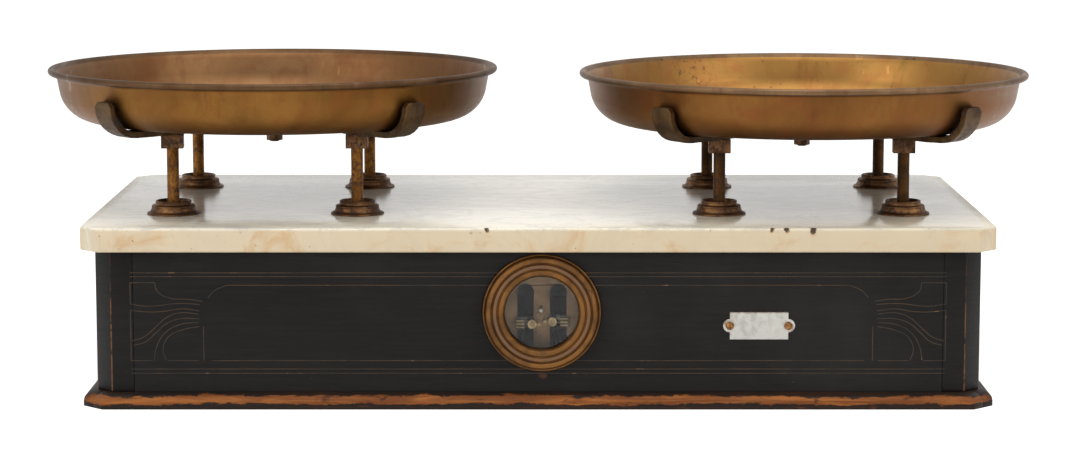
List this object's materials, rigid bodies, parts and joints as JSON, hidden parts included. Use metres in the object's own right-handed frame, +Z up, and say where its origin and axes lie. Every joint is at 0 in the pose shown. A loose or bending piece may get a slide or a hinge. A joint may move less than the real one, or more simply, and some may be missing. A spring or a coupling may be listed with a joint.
{
  "type": "prescription balance",
  "caption": "Enclosed two-pan counter balance: brass pans on posts through a marble top, knife-edge beam and levers in a wooden case, arrow index in a round window.",
  "frame": {"origin": "under the middle of the case, on the surface that the balance stands on", "axes": "+X to the right-hand pan, +Y to the back, +Z up; the window is in the -Y face"},
  "size_m": [0.6788, 0.3108, 0.2142],
  "materials": {
    "marble": "polished white marble with grey veins and yellowed edges",
    "ebonised_wood": "ebonised and worn, with thin gilt lines",
    "plinth_wood": "ebonised, rubbed through to brown",
    "deal": "bare softwood",
    "ferrule_bronze": "dark patinated turning",
    "bezel_brass": "tarnished turned brass",
    "clear_glass": "flat clear glass",
    "index_brass": "dull sheet brass",
    "bare_plate": "white enamelled sheet, bare",
    "screw_brass": "rusty brown heads",
    "cast_iron": "black painted castings",
    "knife_steel": "ground and hardened",
    "rod_steel": "turned, grey",
    "tare_brass": "turned brass",
    "cork_block": "brown blocks",
    "arrow_metal": "dull tinned brass",
    "left_pan_brass": "spun sheet, brown patina",
    "right_pan_brass": "spun sheet, olive patina with dark spots",
    "strap_iron": "wrought straps, oxidised brown",
    "post_brass": "rusty gold brown rods",
    "block_bronze": "dark brown blocks"
  },
  "bodies": {
    "case": {"marble_top": "marble", "front_panel": "ebonised_wood", "back_panel": "ebonised_wood", "left_panel": "ebonised_wood", "right_panel": "ebonised_wood", "corner_posts": "ebonised_wood", "plinth_long_mouldings": "plinth_wood", "plinth_end_mouldings": "plinth_wood", "base_board": "deal", "left_ferrules": "ferrule_bronze", "right_ferrules": "ferrule_bronze", "window_bezel": "bezel_brass", "window_glass": "clear_glass", "glass_ring": "bezel_brass", "index_plate": "index_brass", "name_plate": "bare_plate", "name_plate_screws": "screw_brass", "bed_casting": "cast_iron", "main_bearings": "knife_steel", "fulcrum_brackets": "cast_iron", "fulcrum_bearings": "knife_steel", "bed_screws": "rod_steel", "beam_stops": "cork_block"},
    "main_beam": {"beam_side_bars": "cast_iron", "beam_cross_rods": "rod_steel", "beam_centre_knife": "knife_steel", "beam_end_knives": "knife_steel", "beam_link_knives": "knife_steel", "tare_screws": "tare_brass", "tare_nuts": "tare_brass"},
    "left_lever": {"left_lever_bars": "cast_iron", "left_lever_cross_rod": "rod_steel", "left_lever_knives": "knife_steel", "left_lever_link_knives": "knife_steel", "left_pointer_arm": "rod_steel", "left_pointer_arrow": "arrow_metal"},
    "right_lever": {"right_lever_bars": "cast_iron", "right_lever_cross_rod": "rod_steel", "right_lever_knives": "knife_steel", "right_lever_link_knives": "knife_steel", "right_pointer_arm": "rod_steel", "right_pointer_arrow": "arrow_metal"},
    "left_stirrup_pair": {"left_stirrups": "rod_steel"},
    "right_stirrup_pair": {"right_stirrups": "rod_steel"},
    "left_platform": {"left_pan": "left_pan_brass", "left_upper_strap": "strap_iron", "left_lower_strap": "strap_iron", "left_hub_bolt": "block_bronze", "left_posts": "post_brass", "left_post_blocks": "block_bronze", "left_carrier_frame": "cast_iron", "left_bearing_shoes": "knife_steel"},
    "right_platform": {"right_pan": "right_pan_brass", "right_upper_strap": "strap_iron", "right_lower_strap": "strap_iron", "right_hub_bolt": "block_bronze", "right_posts": "post_brass", "right_post_blocks": "block_bronze", "right_carrier_frame": "cast_iron", "right_bearing_shoes": "knife_steel"}
  },
  "joints": [
    {"name": "beam_tilt", "type": "hinge", "parent": "case", "child": "main_beam", "pos_m": [0, 0, 0.072], "axis": [0, 1, 0], "range_deg": [-2.18, 1.42], "stiffness_Nm_per_rad": 2},
    {"name": "left_lever_tilt", "type": "hinge", "parent": "case", "child": "left_lever", "pos_m": [-0.046, 0, 0.05], "axis": [0, 1, 0], "range_deg": [-7.12, 4.63]},
    {"name": "left_stirrup_swing", "type": "hinge", "parent": "main_beam", "child": "left_stirrup_pair", "pos_m": [-0.06656, 0, 0.07245], "axis": [0, 1, 0], "range_deg": [-1.47, 2.23]},
    {"name": "left_platform_lift", "type": "slide", "parent": "case", "child": "left_platform", "axis": [0, 0, 1], "range_m": [-0.00948, 0.00618]},
    {"name": "right_lever_tilt", "type": "hinge", "parent": "case", "child": "right_lever", "pos_m": [0.046, 0, 0.05], "axis": [0, 1, 0], "range_deg": [-7.12, 4.63]},
    {"name": "right_stirrup_swing", "type": "hinge", "parent": "main_beam", "child": "right_stirrup_pair", "pos_m": [0.06656, 0, 0.07155], "axis": [0, 1, 0], "range_deg": [-1.47, 2.23]},
    {"name": "right_platform_lift", "type": "slide", "parent": "case", "child": "right_platform", "axis": [0, 0, 1], "range_m": [-0.00618, 0.00948]}
  ],
  "couplings": [
    {"joint": "left_lever_tilt", "follows": "beam_tilt", "ratio": 3.2368},
    {"joint": "left_stirrup_swing", "follows": "beam_tilt", "ratio": -1},
    {"joint": "left_platform_lift", "follows": "beam_tilt", "m_per_rad": 0.246},
    {"joint": "right_lever_tilt", "follows": "beam_tilt", "ratio": 3.2368},
    {"joint": "right_stirrup_swing", "follows": "beam_tilt", "ratio": -1},
    {"joint": "right_platform_lift", "follows": "beam_tilt", "m_per_rad": -0.246}
  ]
}
